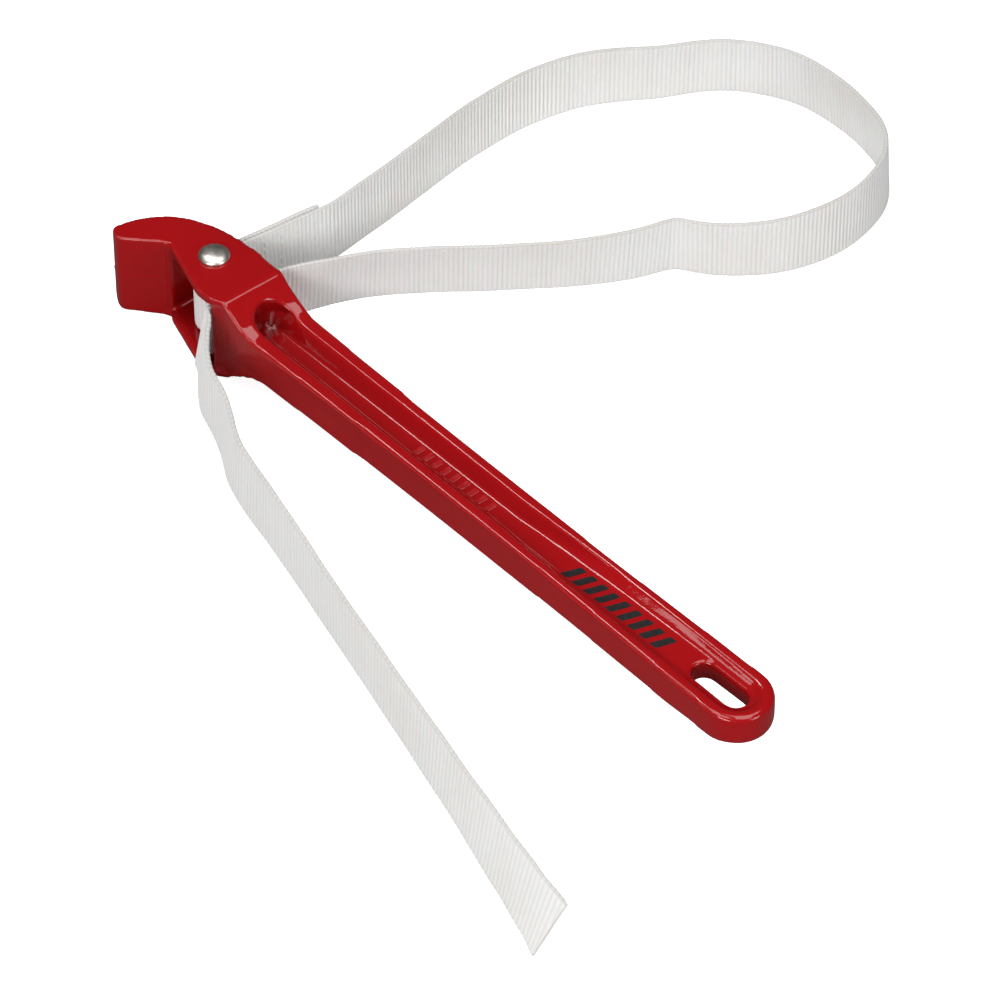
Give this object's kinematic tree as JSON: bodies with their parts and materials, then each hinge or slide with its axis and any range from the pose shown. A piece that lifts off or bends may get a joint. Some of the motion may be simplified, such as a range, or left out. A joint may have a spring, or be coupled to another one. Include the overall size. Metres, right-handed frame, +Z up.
{
  "type": "oil filter strap wrench",
  "caption": "Strap wrench for oil filters: red cast handle with a hooked head, domed rivet, and a white webbing strap looped through the head's window.",
  "frame": {"origin": "on the rivet's axis, level with the flat underside of the head", "axes": "+X along the handle to its end, +Y towards the strap's loop, +Z up along the rivet to its domed head"},
  "size_m": [0.3252, 0.3332, 0.0355],
  "materials": {
    "red_paint": "glossy powder coat on a die casting",
    "nickel_rivet": "bright nickel plate",
    "plated_steel": "zinc plate",
    "white_webbing": "ribbed woven polyester",
    "white_thread": "bonded sewing thread"
  },
  "bodies": {
    "root": {"handle": "red_paint", "rivet": "nickel_rivet", "spacer_sleeve": "plated_steel"},
    "strap_eye": {"strap_eye": "white_webbing", "stitching": "white_thread"},
    "strap_back_run": {"strap_back_run": "white_webbing"},
    "strap_shoulder": {"strap_shoulder": "white_webbing"},
    "strap_crown": {"strap_crown": "white_webbing"},
    "strap_front_bow": {"strap_front_bow": "white_webbing"},
    "strap_kink": {"strap_kink": "white_webbing"},
    "strap_front_run": {"strap_front_run": "white_webbing"},
    "strap_tail_root": {"strap_tail_root": "white_webbing"},
    "strap_tail_middle": {"strap_tail_middle": "white_webbing"},
    "strap_tail_end": {"strap_tail_end": "white_webbing"}
  },
  "joints": [
    {"name": "loop_cinch", "type": "hinge", "parent": "root", "child": "strap_eye", "pos_m": [0, 0, 0.0165], "axis": [0, 0, 1], "range_deg": [0, 9]},
    {"name": "back_run_bend", "type": "hinge", "parent": "strap_eye", "child": "strap_back_run", "pos_m": [0.00085, 0.04813, 0.0165], "axis": [0, 0, 1], "range_deg": [0, 13.8]},
    {"name": "shoulder_bend", "type": "hinge", "parent": "strap_back_run", "child": "strap_shoulder", "pos_m": [-0.00872, 0.13902, 0.0165], "axis": [0, 0, 1], "range_deg": [-21.1, 0]},
    {"name": "crown_bend", "type": "hinge", "parent": "strap_shoulder", "child": "strap_crown", "pos_m": [0.0065, 0.1826, 0.0165], "axis": [0, 0, 1], "range_deg": [-16.5, 0]},
    {"name": "bow_bend", "type": "hinge", "parent": "strap_crown", "child": "strap_front_bow", "pos_m": [0.10722, 0.20318, 0.0165], "axis": [0, 0, 1], "range_deg": [0, 13.7]},
    {"name": "kink_bend", "type": "hinge", "parent": "strap_front_bow", "child": "strap_kink", "pos_m": [0.08475, 0.13505, 0.0165], "axis": [0, 0, 1], "range_deg": [0, 12.1]},
    {"name": "front_run_bend", "type": "hinge", "parent": "strap_kink", "child": "strap_front_run", "pos_m": [0.06634, 0.0995, 0.0165], "axis": [0, 0, 1], "range_deg": [0, 7.5]},
    {"name": "tail_root_bend", "type": "hinge", "parent": "strap_front_run", "child": "strap_tail_root", "pos_m": [0.0127, -0.01687, 0.0165], "axis": [0, 0, 1], "range_deg": [-26.4, 0]},
    {"name": "tail_swing", "type": "hinge", "parent": "strap_tail_root", "child": "strap_tail_middle", "pos_m": [0.05985, -0.04315, 0.0165], "axis": [0, 0, 1], "range_deg": [-30, 8]},
    {"name": "tail_curl", "type": "hinge", "parent": "strap_tail_middle", "child": "strap_tail_end", "pos_m": [0.12584, -0.06249, 0.0165], "axis": [0, 0, 1], "range_deg": [-40, 15]}
  ],
  "couplings": [
    {"joint": "back_run_bend", "follows": "loop_cinch", "ratio": 1.526},
    {"joint": "shoulder_bend", "follows": "loop_cinch", "ratio": -2.338},
    {"joint": "crown_bend", "follows": "loop_cinch", "ratio": -1.82},
    {"joint": "bow_bend", "follows": "loop_cinch", "ratio": 1.51},
    {"joint": "kink_bend", "follows": "loop_cinch", "ratio": 1.335},
    {"joint": "front_run_bend", "follows": "loop_cinch", "ratio": 0.817},
    {"joint": "tail_root_bend", "follows": "loop_cinch", "ratio": -2.922}
  ]
}
